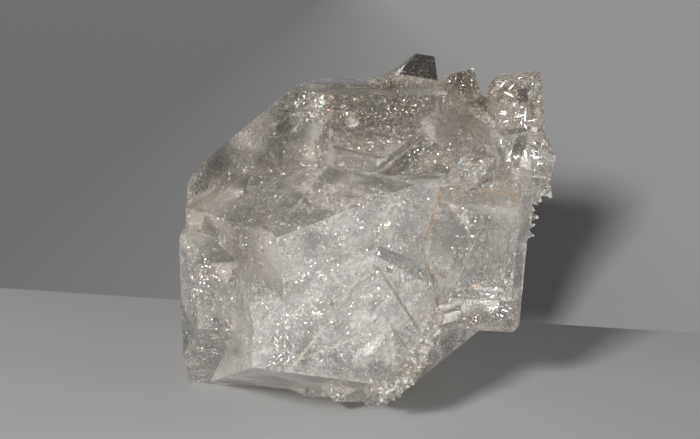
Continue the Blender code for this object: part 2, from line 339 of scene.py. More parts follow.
crystalShell = dict(
    name="crystal_shell",
    weld=0.002 * mm,
    flatAngle=math.radians(0.6),
    rimFrom=2.5 * mm,       # edges longer than this get a worn rim
    rimAngle=math.radians(25),
    rimWidth=0.13 * mm,
    rimSlim=2.5,            # a rim's face is at most this many rim widths wide
    longestEdge=1.35 * mm,
    rounds=7,
    flatEnough=0.9998,
    swell=0.045 * mm,       # slow waves on each face
    swellSize=4.5 * mm,
    swellShift=3,           # moves the waves on from one face to the next
    ripple=0.016 * mm,      # finer waves on top of them
    rippleSize=1.6 * mm,
    rippleShift=7,
)


def makeShell():
    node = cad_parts["crystal_cluster"]
    shell = bpy.data.objects.new(crystalShell["name"], node.data.copy())
    bpy.context.scene.collection.objects.link(shell)
    shell.data.materials.clear()
    editing(shell)
    bpy.ops.mesh.select_all(action="SELECT")
    bpy.ops.mesh.remove_doubles(threshold=crystalShell["weld"])
    bpy.ops.mesh.dissolve_limited(angle_limit=crystalShell["flatAngle"])
    bpy.ops.object.mode_set(mode="OBJECT")
    chipEdges(shell)
    editing(shell)
    cutToTriangles()
    bpy.ops.object.mode_set(mode="OBJECT")
    for _ in range(crystalShell["rounds"]):
        splitLongEdges(shell, crystalShell["longestEdge"])
    waveFaces(shell)
    return shell


def cutToTriangles():
    bpy.ops.mesh.select_all(action="SELECT")
    bpy.ops.mesh.quads_convert_to_tris(quad_method="SHORTEST_DIAGONAL", ngon_method="BEAUTY")


def chipEdges(shell):
    # a narrow worn rim along the long outward edges, its faces marked for a painted highlight
    info = crystalShell
    mesh = editing(shell)
    mesh.faces.layers.float.new("rim")
    for edge in mesh.edges:
        if edge.calc_length() > info["rimFrom"] and edge.is_convex:
            edge.select_set(edge.calc_face_angle(0) > info["rimAngle"])
    mesh.select_flush_mode()
    bmesh.update_edit_mesh(shell.data)
    bpy.ops.mesh.bevel(offset=info["rimWidth"], segments=1, clamp_overlap=True)
    mesh = bmesh.from_edit_mesh(shell.data)
    rim = mesh.faces.layers.float.get("rim")
    for face in mesh.faces:
        longest = max(edge.calc_length() for edge in face.edges)
        if face.select and face.calc_area() < longest * info["rimWidth"] * info["rimSlim"]:
            face[rim] = 1.0
    bmesh.update_edit_mesh(shell.data)
    bpy.ops.object.mode_set(mode="OBJECT")


def splitLongEdges(shell, longest):
    mesh = editing(shell)
    tooLong = [edge for edge in mesh.edges if edge.calc_length() > longest]
    for edge in tooLong:
        edge.select_set(True)
    bmesh.update_edit_mesh(shell.data)
    if tooLong:
        bpy.ops.mesh.subdivide(number_cuts=1)
        cutToTriangles()
        bpy.ops.mesh.beautify_fill(angle_limit=crystalShell["flatAngle"])
    bpy.ops.object.mode_set(mode="OBJECT")


def waveFaces(shell):
    # growth waves: points inside a flat face move along its normal, its edges stay straight
    info = crystalShell
    mesh = bmesh.new()
    mesh.from_mesh(shell.data)
    mesh.normal_update()
    for point in mesh.verts:
        normals = [face.normal for face in point.link_faces]
        first = normals[0]
        if any(first.dot(normal) < info["flatEnough"] for normal in normals):
            continue
        slow = noise.noise(point.co / info["swellSize"] + first * info["swellShift"])
        quick = noise.noise(point.co / info["rippleSize"] + first * info["rippleShift"])
        lift = -abs(slow) * info["swell"] + quick * info["ripple"]
        point.co += first * (lift - info["ripple"])
    mesh.to_mesh(shell.data)
    mesh.free()


# milk and cracks run in bands that climb to the right
bands = dict(climb=math.radians(50), depthLean=-0.15, stretch=1.6)
bandWay = np.array((math.cos(bands["climb"]), bands["depthLean"], math.sin(bands["climb"])))
bandWay /= np.linalg.norm(bandWay)

quartzFace = dict(
    clear=(0.965, 0.935, 0.90), stained=(0.80, 0.69, 0.55), smokeAndShadeColour=(0.09, 0.08, 0.072), ior=1.544,
    mostMilk=0.86,                      # how much of the see-through the milk can take
    wispShare=0.65, evenShare=0.35,     # milk in wisps, and milk all over the face
    # each noise: scale, detail, roughness and distortion, and the steps that it is brought to
    wispNoise=(230.0, 9.0, 0.72, 0.5), wispSteps=((0.40, 0.0), (0.62, 1.0)),
    puffNoise=(95.0, 3.0, 0.5, 0.6), puffSteps=((0.38, 0.55), (0.62, 1.0)),
    grainNoise=(1300.0, 3.0, 0.7), grainSteps=((0.40, 0.3), (0.58, 1.0)),
    glossNoise=(120.0, 4.0), glossSteps=((0.35, 0.025), (0.7, 0.14)),
    rustNoise=(330.0, 5.0, 0.6, 0.8), rustDepth=2.2,
    etchNoise=(1400.0, 3.0), etchShare=0.16,    # fine etching on top of the growth steps
    stepNoise=(190.0, 2.0), stepHeight=0.045,
    bumpStrength=0.3, bumpHeight=0.4 * mm,
)


def clearQuartz():
    info = quartzFace
    material, tree, shader = newMaterial("clear_quartz_faces")
    shader.inputs["IOR"].default_value = info["ior"]
    place = objectPlace(tree)

    # milk just under the face: wisps with finer grain, which take the place of see-through
    turned = addNode(tree, "ShaderNodeMapping", vector_type="TEXTURE")
    turned.inputs["Rotation"].default_value = (0, -bands["climb"], 0)
    turned.inputs["Scale"].default_value = (bands["stretch"], 1, 1)
    tree.links.new(place, turned.inputs["Vector"])
    along = turned.outputs["Vector"]
    wisp = ramp(tree, noiseTexture(tree, along, *info["wispNoise"]), info["wispSteps"])
    puff = ramp(tree, noiseTexture(tree, along, *info["puffNoise"]), info["puffSteps"])
    grain = ramp(tree, noiseTexture(tree, along, *info["grainNoise"]), info["grainSteps"])
    cloud = mathNode(tree, "MULTIPLY", wisp, grain)
    cloud = mathNode(tree, "MULTIPLY_ADD", cloud, info["wispShare"], info["evenShare"])
    cloud = mathNode(tree, "MULTIPLY", cloud, puff)
    cloud = mathNode(tree, "MULTIPLY", cloud, faceValue(tree, "milk"), clamp=True)
    taken = mathNode(tree, "MULTIPLY", cloud, info["mostMilk"])
    see = mathNode(tree, "SUBTRACT", 1.0, taken)
    tree.links.new(see, shader.inputs["Transmission Weight"])

    # faint iron stain, deeper in wisps, and a smoky tint that is mostly painted shade and a painted
    # dark reflection
    rust = noiseTexture(tree, place, *info["rustNoise"])
    rust = mathNode(tree, "MULTIPLY", rust, faceValue(tree, "stain"))
    rust = mathNode(tree, "MULTIPLY", rust, info["rustDepth"], clamp=True)
    colour = mixColour(tree, rust, info["clear"], info["stained"])
    colour = mixColour(tree, faceValue(tree, "smoke_and_shade"), colour, info["smokeAndShadeColour"])
    tree.links.new(colour, shader.inputs["Base Color"])

    # growth steps with fine etching, and gloss that comes and goes
    etch = noiseTexture(tree, place, *info["etchNoise"])
    steps = noiseTexture(tree, place, *info["stepNoise"])
    steps = mathNode(tree, "SNAP", steps, info["stepHeight"])
    height = mathNode(tree, "MULTIPLY_ADD", etch, info["etchShare"], steps)
    bumpInputs = {"Strength": info["bumpStrength"], "Distance": info["bumpHeight"]}
    bump = addNode(tree, "ShaderNodeBump", bumpInputs)
    tree.links.new(height, bump.inputs["Height"])
    tree.links.new(bump.outputs["Normal"], shader.inputs["Normal"])
    gloss = ramp(tree, noiseTexture(tree, place, *info["glossNoise"]), info["glossSteps"])
    tree.links.new(gloss, shader.inputs["Roughness"])
    return material


shell = makeShell()
shell.data.materials.append(clearQuartz())
shellSearch = BVHTree.FromPolygons(
    [vertex.co[:] for vertex in shell.data.vertices],
    [polygon.vertices[:] for polygon in shell.data.polygons],
)
paintFaces(shell)
finishPiece(shell)
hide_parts("crystal_cluster")

# what lies inside: chips of healed cracks, in thin curved veils and in milky clouds

allChips = dict(
    corners=3,
    mostMilk=1.2,           # the milk level that the densest places reach
    outward=-0.97,          # how straight a chip's nearest face has to look away from it
    room=1.05,              # a chip's reach about its middle, with a little to spare
    sizeBias=1.6,           # more small ones than large ones
    narrow=(0.45, 0.95),    # width across, as a share of the length
    sheetSpread=0.35,       # how far chips stray from a thin sheet where there is no milk
    cloudBase=0.4, cloudEnds=(0.04, 1.5),    # how dense the chips are, and from and to
)
sheetSizes = ((26 * mm, 3), (15 * mm, 11), (9 * mm, 17))    # wave length and seed of each set
waves = dict(count=9, spread=(0.5, 1.6))                    # how many, and how their lengths vary
smallestArea = 1e-20


def surfacePoints(piece, count, rng):
    # random points on the surface, even by area, with the normal at each
    triangles = meshPoints(piece.data)[meshTriangles(piece.data)]
    cross = np.cross(triangles[:, 1] - triangles[:, 0], triangles[:, 2] - triangles[:, 0])
    area = np.linalg.norm(cross, axis=1)
    picked = rng.choice(len(triangles), count, p=area / area.sum())
    u = rng.random(count)
    v = rng.random(count)
    fold = u + v > 1
    u[fold] = 1 - u[fold]
    v[fold] = 1 - v[fold]
    chosen = triangles[picked]
    spots = chosen[:, 0] + u[:, None] * (chosen[:, 1] - chosen[:, 0])
    spots += v[:, None] * (chosen[:, 2] - chosen[:, 0])
    return spots, cross[picked] / np.maximum(area[picked], smallestArea)[:, None]


def waveField(points, size, seed):
    # a smooth field made of sine waves; where it crosses nought, thin curved sheets lie
    rng = np.random.default_rng(seed)
    value = np.zeros(len(points))
    slope = np.zeros((len(points), 3))
    for _ in range(waves["count"]):
        heading = rng.normal(size=3)
        heading *= rng.uniform(*waves["spread"]) * 2 * math.pi / size / np.linalg.norm(heading)
        phase = points @ heading + rng.uniform(0, 2 * math.pi)
        value += np.sin(phase)
        slope += np.cos(phase)[:, None] * heading
    return value, slope


def onlyInside(spots, margins):
    # keeps the points that lie at least their own margin inside the shell
    up = Vector((0, 0, 1))
    keep = np.zeros(len(spots), bool)
    for index, (place, margin) in enumerate(zip(spots, margins)):
        spot = Vector(place)
        near, normal, _, gap = shellSearch.find_nearest(spot)
        if gap > margin and (spot - near).dot(normal) < allChips["outward"] * gap:
            _, wayOut, _, _ = shellSearch.ray_cast(spot, up)
            keep[index] = wayOut is not None and wayOut.z > 0
    return keep


def bandPoints(spots):
    # places squeezed along the bands, so that a pattern made on them is long that way
    along = spots @ bandWay
    return spots - np.outer(along, bandWay) * (1 - 1 / bands["stretch"])


def randomTurns(normals, tilt, rng):
    # one turn a chip: its flat side faces the normal, more or less
    count = len(normals)
    third = normals + rng.normal(size=(count, 3)) * tilt
    third /= np.linalg.norm(third, axis=1)[:, None]
    first = np.cross(third, rng.normal(size=(count, 3)))
    first /= np.linalg.norm(first, axis=1)[:, None]
    second = np.cross(third, first)
    return np.stack([first, second, third], 2)


def modelChip(corners):
    # a small solid point: its size and place come from the copies
    deselectAll()
    bpy.ops.mesh.primitive_cone_add(vertices=corners, radius1=1, radius2=0, depth=1)
    chip = bpy.context.object
    applyPlace(chip)
    return chip


def scatter(name, corners, spots, turns, sizes):
    # one chip is modelled, and a copy of it at each spot is joined into one piece
    chip = modelChip(corners)
    shape = meshPoints(chip.data)
    faces = meshTriangles(chip.data).reshape(-1)
    bpy.data.objects.remove(chip)
    count = len(spots)
    scaled = shape[None] * sizes[:, None, :]
    placed = np.einsum("nij,nkj->nki", turns, scaled) + spots[:, None, :]
    every = faces[None] + (np.arange(count) * len(shape))[:, None]
    joined = bpy.data.meshes.new(name)
    joined.vertices.add(count * len(shape))
    joined.vertices.foreach_set("co", placed.reshape(-1))
    corners = every.reshape(-1)
    joined.loops.add(len(corners))
    joined.loops.foreach_set("vertex_index", corners)
    joined.polygons.add(len(corners) // 3)
    joined.polygons.foreach_set("loop_start", np.arange(0, len(corners), 3))
    joined.update(calc_edges=True)
    joined.validate()
    joined.shade_flat()
    piece = bpy.data.objects.new(name, joined)
    bpy.context.scene.collection.objects.link(piece)
    return piece


def chipSizes(count, info, rng):
    small, large = info["size"]
    width = small * (large / small) ** (rng.random(count) ** allChips["sizeBias"])
    narrow = width * rng.uniform(*allChips["narrow"], count)
    return np.stack([width, narrow, width * info["flat"]], 1)


def makeChips(info):
    rng = np.random.default_rng(info["seed"])
    spots, normals = surfacePoints(shell, info["tries"], rng)
    deep = info["shallow"] + rng.exponential(info["depth"], len(spots))
    spots = spots - normals * deep[:, None]
    level = zoneLevel(spots, milkZones, baseMilk, info["least"], allChips["mostMilk"])
    squeezed = bandPoints(spots)
    if "sheet" in info:     # only near the thin curved sheets where the fields cross nought
        keep = np.zeros(len(spots), bool)
        facing = np.zeros((len(spots), 3))
        for size, seed in sheetSizes:
            value, slope = waveField(squeezed, size, seed)
            near = np.abs(value) < info["sheet"] * (allChips["sheetSpread"] + level)
            facing[near] = slope[near]
            keep |= near
    else:                   # everywhere, thicker in some clouds than in others
        value, _ = waveField(squeezed, info["patch"], info["seed"] + 1)
        thick = np.clip(allChips["cloudBase"] + value * info["contrast"], *allChips["cloudEnds"])
        level = level * thick
        keep = np.ones(len(spots), bool)
        facing = rng.normal(size=(len(spots), 3)) - normals * info["lean"]
    keep &= rng.random(len(spots)) < level * info["share"]
    spots, facing = spots[keep], facing[keep]
    sizes = chipSizes(len(spots), info, rng)
    inside = onlyInside(spots, sizes[:, 0] * allChips["room"])
    spots, facing, sizes = spots[inside], facing[inside], sizes[inside]
    facing /= np.linalg.norm(facing, axis=1)[:, None]
    turns = randomTurns(facing, info["tilt"], rng)
    return scatter(info["name"], allChips["corners"], spots, turns, sizes)


finishSockets = dict(roughness="Roughness", ior="IOR", see="Transmission Weight", metal="Metallic")
whiteNoise = (260.0, 2.0, 0.5)
warmWhite = (0.93, 0.87, 0.79)
# the tints of cracks that glint: most are plain, a few have a rainbow colour
rainbow = ((0.7, (0.98, 0.8, 0.55)), (0.8, (0.62, 0.86, 0.98)),
           (0.88, (0.98, 0.7, 0.83)), (0.95, (0.66, 0.95, 0.85)))


def warmPatches(colour):
    # steps from a warmer white to the plain one
    warm = tuple(value * factor for value, factor in zip(colour, warmWhite))
    return (0.38, warm), (0.5, colour)


def cellTints(tree, info):
    # one tint a cell
    cell = addNode(tree, "ShaderNodeTexVoronoi", {"Scale": info["cell"]})
    tree.links.new(objectPlace(tree), cell.inputs["Vector"])
    pick = addNode(tree, "ShaderNodeSeparateColor")
    tree.links.new(cell.outputs["Color"], pick.inputs[0])
    tints = ramp(tree, pick.outputs[0], ((0.0, info["plain"]), *rainbow))
    tints.node.color_ramp.interpolation = "CONSTANT"
    return tints


def chipMaterial(info):
    # tones in small patches, or one tint a cell
    material, tree, shader = newMaterial(info["finish"])
    for key, socket in finishSockets.items():
        if key in info:
            shader.inputs[socket].default_value = info[key]
    if "cell" in info:
        tone = cellTints(tree, info)
    else:
        tone = ramp(tree, noiseTexture(tree, objectPlace(tree), *info["noise"]), info["steps"])
    tree.links.new(tone, shader.inputs["Base Color"])
    return material


def dress(piece, info):
    piece.data.materials.append(chipMaterial(info))
    finishPiece(piece)


# each set of chips: how many are tried, their depth beyond the shallowest, the share that is kept
# and the least milk they count on, the sheets or the clouds they follow, their shape, the finish
veilChips = dict(
    name="veil_chips", tries=500000, depth=5.0 * mm, shallow=0.4 * mm, share=0.6, least=0.3,
    sheet=0.12, size=(0.1 * mm, 0.55 * mm), flat=0.2, tilt=0.3, seed=5,
    finish="veil_white", noise=whiteNoise, steps=warmPatches((0.88, 0.87, 0.86)),
    roughness=0.3, ior=1.9,
)
cloudChips = dict(
    name="cloud_chips", tries=300000, depth=4.5 * mm, shallow=0.5 * mm, share=0.7, least=0.32,
    patch=11 * mm, contrast=0.22, lean=0, size=(0.06 * mm, 0.3 * mm), flat=0.35, tilt=0.35, seed=8,
    finish="milk_white", noise=whiteNoise, steps=warmPatches((0.9, 0.9, 0.89)),
    roughness=0.4, ior=1.9,
)
sparkPlates = dict(    # cracks that turn all the light back
    name="spark_plates", tries=300000, depth=1.6 * mm, shallow=0.2 * mm, share=0.5, least=0.45,
    patch=7 * mm, contrast=0.45, lean=1.6, size=(0.1 * mm, 0.34 * mm), flat=0.06, tilt=0.1, seed=23,
    finish="spark_mirror", cell=600.0, plain=(0.98, 0.97, 0.95), metal=1.0, roughness=0.36,
)
sparkDust = dict(
    name="spark_dust", tries=330000, depth=0.9 * mm, shallow=0.12 * mm, share=0.5, least=0.38,
    patch=4 * mm, contrast=0.5, lean=1.6, size=(0.06 * mm, 0.16 * mm), flat=0.08, tilt=0.1, seed=61,
    finish="spark_white", noise=whiteNoise, steps=warmPatches((0.85, 0.84, 0.82)),
    roughness=0.42, ior=3.2,
)
brownFlecks = dict(    # iron stain caught in the cracks
    name="brown_flecks", tries=150000, depth=0.7 * mm, shallow=0.15 * mm, share=0.45, least=0.3,
    patch=6 * mm, contrast=0.5, lean=1.2, size=(0.07 * mm, 0.26 * mm), flat=0.3, tilt=0.3, seed=71,
    finish="brown_fleck", noise=(700.0, 2.0), roughness=0.5,
    steps=((0.4, (0.13, 0.10, 0.075)), (0.6, (0.5, 0.38, 0.24))),
)
crackPlates = dict(    # wide cracks deeper in, half seen
    name="crack_plates", tries=420000, depth=3.0 * mm, shallow=0.5 * mm, share=0.35, least=0.01,
    sheet=0.05, size=(0.15 * mm, 0.5 * mm), flat=0.05, tilt=0.18, seed=41,
    finish="crack_glass", cell=420.0, plain=(0.95, 0.95, 0.94), see=1.0, ior=1.8, roughness=0.1,
)
for chipSet in (veilChips, cloudChips, sparkPlates, sparkDust, brownFlecks, crackPlates):
    chips = makeChips(chipSet)
    chips.visible_shadow = chipSet is not crackPlates
    dress(chips, chipSet)

# the camera and two of the lamps: the bright cracks are turned between them
view = dict(lens=60, sensor=36, elevation=math.radians(12), distance=0.312)
lookPoint = Vector((-0.00415, -0.00619, 0.046))
toEye = Vector((0, -math.cos(view["elevation"]), math.sin(view["elevation"])))
keyPlace = Vector((-0.36, -0.62, 0.42))
behindPlace = Vector((0.3, 0.65, 0.5))

# bright cracks: middle in mm, how many, how far they spread, and their reach from and to in mm
brightCracks = (
    ((5, -37, 51.5), 5, 0.15, (1.1, 1.6)),       # upper front crystal
    ((3.5, -36.5, 50.5), 7, 1.4, (0.3, 0.7)),
    ((2.5, -39.5, 44.5), 2, 0.3, (0.6, 0.9)),
    ((-5.5, -39, 49.5), 16, 2.6, (0.15, 0.5)),
    ((8.5, -36.5, 57), 14, 3, (0.12, 0.35)),
    ((-0.5, -36.5, 56), 14, 3.5, (0.12, 0.35)),
    ((14, -33.5, 42), 8, 2.5, (0.15, 0.45)),
    ((-12, -44, 31), 6, 1.3, (0.4, 0.9)),        # lower front crystal
    ((-18.5, -45, 29), 20, 3.5, (0.15, 0.5)),
    ((-23, -46, 24.5), 24, 4, (0.15, 0.55)),
    ((-21, -46, 20.5), 24, 4, (0.15, 0.6)),
    ((-12, -43, 40), 18, 4, (0.15, 0.45)),
    ((2, -42, 34), 14, 5, (0.12, 0.4)),
    ((-2, -43.5, 22), 14, 5, (0.12, 0.4)),
    ((-26, -40, 15), 16, 3.5, (0.12, 0.4)),
    ((-5, -19.5, 76), 12, 2.2, (0.15, 0.4)),     # main crystal
    ((0.5, -20.5, 75.5), 12, 2.2, (0.15, 0.35)),
    ((6, -21, 76), 12, 2.4, (0.15, 0.4)),
    ((11, -20.5, 78), 8, 2, (0.15, 0.4)),
    ((3.5, -24.5, 70.5), 16, 4.5, (0.12, 0.4)),
    ((14.5, -26.5, 69), 16, 3.5, (0.12, 0.4)),
    ((-17, -10.5, 78), 16, 2.2, (0.2, 0.6)),
    ((-14, -16, 76), 28, 3.4, (0.15, 0.6)),
    ((-12, -18, 79), 20, 2.4, (0.15, 0.5)),
    ((-10.5, -16, 80), 12, 2, (0.2, 0.5)),
    ((-28.5, -16.5, 56.5), 18, 5, (0.12, 0.4)),
    ((-14, -21, 67), 12, 3.5, (0.12, 0.4)),
    ((-31, -31, 49.5), 16, 4.5, (0.12, 0.4)),
    ((-38.5, -19.5, 44.5), 10, 3.5, (0.12, 0.4)),
    ((-42, -26.5, 35), 18, 2.6, (0.15, 0.5)),    # left corner
    ((-38, -27, 37.5), 14, 2.4, (0.15, 0.45)),
    ((-42.5, -27, 30), 12, 2.4, (0.15, 0.5)),
    ((-34.5, -27.5, 23.5), 16, 2.8, (0.15, 0.55)),
    ((-40, -26, 22), 16, 2.8, (0.15, 0.55)),
    ((-41, -18, 13), 10, 4, (0.12, 0.4)),
    ((28, -31, 35), 12, 2.4, (0.2, 0.6)),        # upright crystal
    ((31, -30.5, 32.5), 14, 2.4, (0.2, 0.8)),
    ((33, -28, 27.5), 16, 2.6, (0.2, 0.9)),
    ((34, -31, 36), 10, 2, (0.2, 0.5)),
    ((27, -25, 24), 14, 2.6, (0.15, 0.5)),
    ((25, -30.5, 51), 6, 2.5, (0.2, 0.5)),
    ((26, -27, 62.5), 14, 4, (0.15, 0.5)),
    ((34, -15, 68), 7, 2.6, (0.3, 1.6)),         # clear points
    ((39, -19.5, 64), 8, 2.6, (0.3, 1.5)),
    ((43, -17.5, 65), 8, 2.4, (0.3, 1.5)),
    ((46, -13.5, 67.5), 5, 1.8, (0.3, 1)),
    ((36, -21.5, 61.5), 8, 2.4, (0.2, 0.8)),
    ((35.5, -9, 82), 3, 2, (0.4, 1.8)),
    ((38, -11, 77.5), 5, 2.6, (0.4, 2.4)),
    ((42.5, -9.5, 80), 4, 2.4, (0.4, 1.8)),
    ((40.5, -12, 73.5), 5, 2.6, (0.4, 2.4)),
    ((33, -12.5, 73.5), 4, 2, (0.4, 1.6)),
    ((26.5, -6.5, 82.5), 14, 2.4, (0.2, 0.5)),
    ((16, -6, 81.5), 6, 1.5, (0.2, 0.4)),
    ((-16, -44, 34), 60, 9, (0.1, 0.42)),        # all over the front
    ((-4, -43.5, 16), 54, 9, (0.1, 0.42)),
    ((-10, -40, 47), 54, 8, (0.1, 0.42)),
    ((6, -38, 40), 54, 8, (0.1, 0.42)),
    ((-20, -46, 16), 54, 7, (0.1, 0.42)),
    ((-30, -30, 50), 54, 8, (0.1, 0.42)),
    ((-20, -20, 62), 54, 8, (0.1, 0.42)),
    ((4, -27, 68), 66, 9, (0.1, 0.42)),
    ((-34, -4, 62), 39, 8, (0.1, 0.42)),
    ((24, -31, 42), 39, 8, (0.1, 0.42)),
    ((-38, -26, 30), 54, 7, (0.1, 0.42)),
    ((2, 30, 62), 60, 9, (0.12, 0.6)),           # back
    ((-16, 36, 40), 60, 9, (0.12, 0.6)),
    ((18, 34, 28), 60, 9, (0.12, 0.6)),
    ((34, 14, 44), 50, 8, (0.12, 0.6)),
    ((-36, 20, 30), 50, 8, (0.12, 0.6)),
    ((0, 48, 30), 50, 9, (0.12, 0.6)),
    ((0, 4, 78), 30, 10, (0.12, 0.4)),
)
brightPlates = dict(
    name="bright_cracks", seed=77, corners=5,
    scale=0.72, crowd=2.2,             # on the reach and the counts above
    gather=0.6,                        # how close to the middle a group keeps
    under=(0.06 * mm, 0.9 * mm),       # how deep under the face
    loneSpread=0.2, loneNarrow=0.5,    # a group this tight is one wide crack and isn't crowded
    narrow=(0.14, 0.6), flat=0.03, tilt=0.17,
    leastCosine=0.05, room=0.6,
    finish="crack_mirror", cell=600.0, plain=(0.98, 0.97, 0.95), metal=1.0, roughness=0.3,
)


def throughFace(way, normal):
    # the same way inside the quartz, before the face bends it
    ratio = 1 / quartzFace["ior"]
    cosine = max(brightPlates["leastCosine"], way.dot(normal))
    inner = math.sqrt(1 - ratio ** 2 * (1 - cosine ** 2))
    return (way - normal * cosine) * ratio + normal * inner


def makeBrightCracks():
    # plates that turn a lamp's light out of the front, and at the back out of the back
    info = brightPlates
    toKey = (keyPlace - lookPoint).normalized()
    toBehind = (behindPlace - lookPoint).normalized()
    outOfBack = Vector((toEye.x, -toEye.y, toEye.z))
    rng = np.random.default_rng(info["seed"])
    spots, ways, sizes = [], [], []
    for middle, count, spread, (small, large) in brightCracks:
        lone = spread < info["loneSpread"]
        eye, lamp = (toEye, toKey) if middle[1] < 0 else (outOfBack, toBehind)
        for _ in range(count if lone else round(count * info["crowd"])):
            spot = (np.array(middle) + rng.normal(size=3) * spread * info["gather"]) * mm
            width = rng.uniform(small, large) * info["scale"] * mm
            near, normal, _, _ = shellSearch.find_nearest(Vector(spot))
            deep = width / 2 + rng.uniform(*info["under"])
            spots.append(np.array(near) - np.array(normal) * deep)
            ways.append(-np.array(throughFace(eye, normal)) - np.array(lamp))
            narrow = rng.uniform(*info["narrow"]) / (1 + width / mm)
            if lone:
                narrow = info["loneNarrow"]
            sizes.append((width, width * narrow, width * info["flat"]))
    spots, ways, sizes = np.array(spots), np.array(ways), np.array(sizes)
    ways /= np.linalg.norm(ways, axis=1)[:, None]
    keep = onlyInside(spots, sizes[:, 0] * info["room"])
    turns = randomTurns(ways[keep], info["tilt"], rng)
    return scatter(info["name"], info["corners"], spots[keep], turns, sizes[keep])


dress(makeBrightCracks(), brightPlates)

# what grows on the faces: rust along the joins, and a crust of tiny crystals

# points in mm along each line, specks a mm, and how far they spread in mm
rustLines = (
    (((18.5, -28.5, 59), (16, -31, 51), (13.5, -32, 43.5)), 26, 0.14),
    (((13.5, -32, 43.5), (16, -31, 38), (17.5, -30.5, 30.5), (20, -20, 19.5)), 12, 0.2),
    (((21, -28.5, 59), (28, -28.5, 58), (37.5, -29, 57)), 9, 0.35),
    (((25, -8.5, 79.5), (27, -21.5, 67), (31.5, -26, 65.5)), 7, 0.6),
)
crustLines = (
    (((18, -46, 27), (5, -46, 3)), 26, 1.7),
    (((3.5, -46, 4.5), (-0.5, -46, 1.5)), 26, 1.5),
    (((52, -19, 56), (50, -22, 43)), 10, 1.3),
    (((48, -22, 54), (48, -14, 52)), 8, 1.2),
    (((27.5, -18, 89), (33.5, -14, 89)), 9, 1.4),
    (((4.5, -4, 89), (9.5, -8, 89)), 6, 1.0),
    (((-19.5, 52, 30), (8.5, 52, 24)), 9, 1.9),
    (((32.5, 48, 55), (36.5, 48, 40)), 8, 1.5),
)


def alongLines(lines, rng):
    # points near each line, dropped on to the nearest face, with the normal there
    spots, normals = [], []
    for corners, perMm, spread in lines:
        for start, end in zip(corners, corners[1:]):
            start, end = Vector(start), Vector(end)
            for _ in range(round((end - start).length * perMm)):
                spot = start.lerp(end, rng.random()) + Vector(rng.normal(size=3)) * spread
                near, normal, _, _ = shellSearch.find_nearest(spot * mm)
                spots.append(near)
                normals.append(normal)
    return np.array(spots), np.array(normals)


rustSpecks = dict(
    name="rust_specks", seed=19, corners=4,
    under=(0.1, 0.35), width=(0.08, 0.26),    # in mm
    narrow=0.7, flat=0.3, tilt=0.3, room=0.4,
    finish="iron_rust", noise=(500.0,), roughness=0.6,
    steps=((0.35, (0.36, 0.23, 0.12)), (0.6, (0.62, 0.46, 0.29))),
)


def makeRust():
    info = rustSpecks
    rng = np.random.default_rng(info["seed"])
    spots, normals = alongLines(rustLines, rng)
    spots = spots - normals * rng.uniform(*info["under"], len(spots))[:, None] * mm
    width = rng.uniform(*info["width"], len(spots)) * mm
    sizes = np.stack([width, width * info["narrow"], width * info["flat"]], 1)
    keep = onlyInside(spots, sizes[:, 0] * info["room"])
    turns = randomTurns(normals[keep], info["tilt"], rng)
    return scatter(info["name"], info["corners"], spots[keep], turns, sizes[keep])


crustPoints = dict(
    name="crust_points", seed=37, corners=6,
    width=(0.13, 0.4), tall=(1.2, 2.2), tilt=0.45,    # width in mm, height in widths
    room=1.6 * mm,    # how far inside the size of the whole cluster each one stands
    finish="crust_quartz", noise=(300.0,), roughness=0.08, see=0.3, ior=quartzFace["ior"],
    steps=((0.4, (0.96, 0.95, 0.93)), (0.62, (0.85, 0.76, 0.62))),
)


def makeCrust():
    # tiny six-sided points, most of them standing away from the face
    info = crustPoints
    rng = np.random.default_rng(info["seed"])
    spots, normals = alongLines(crustLines, rng)
    width = rng.uniform(*info["width"], len(spots)) * mm
    sizes = np.stack([width, width, width * rng.uniform(*info["tall"], len(spots))], 1)
    lowest, highest = (np.array(corner) for corner in cadBox)
    keep = (spots > lowest + info["room"]).all(1) & (spots < highest - info["room"]).all(1)
    turns = randomTurns(normals[keep], info["tilt"], rng)
    return scatter(info["name"], info["corners"], spots[keep], turns, sizes[keep])


dress(makeRust(), rustSpecks)
dress(makeCrust(), crustPoints)

# desk, paper, light and camera

studioDesk = dict(
    name="studio_desk", size=(10.0, 10.0, 0.02), drop=0.4 * mm, roughness=0.8,
    shadeAcrossScale=2.0, shadeAcrossMiddle=0.5,    # painted shade: darker on the left than on the right, as less light falls there
    steps=((0.2, (0.38, 0.38, 0.385)), (0.8, (0.66, 0.66, 0.655))),
)
studioPaper = dict(
    name="studio_paper", width=1.8, near=-1.1, thickness=0.4 * mm, grey=0.72, roughness=0.75,
    edgeY=0.0625, edgeTurn=math.radians(-13),    # the far edge, just behind the cluster
)


def addSlab(name, size, place):
    deselectAll()
    bpy.ops.mesh.primitive_cube_add(size=1)
    slab = bpy.context.object
    slab.name = name
    slab.scale = size
    slab.location = place
    applyPlace(slab)
    return slab


def makeDesk():
    info = studioDesk
    desk = addSlab(info["name"], info["size"], (0, 0, -info["size"][2] / 2 - info["drop"]))
    material, tree, shader = newMaterial("grey_board_painted_shade")
    shader.inputs["Roughness"].default_value = info["roughness"]
    split = addNode(tree, "ShaderNodeSeparateXYZ")
    tree.links.new(objectPlace(tree), split.inputs["Vector"])
    # painted shade: the board's grey darkens towards the left
    across = mathNode(tree, "MULTIPLY_ADD", split.outputs["X"], info["shadeAcrossScale"],
                      info["shadeAcrossMiddle"], clamp=True)
    tree.links.new(ramp(tree, across, info["steps"]), shader.inputs["Base Color"])
    desk.data.materials.append(material)
    return desk


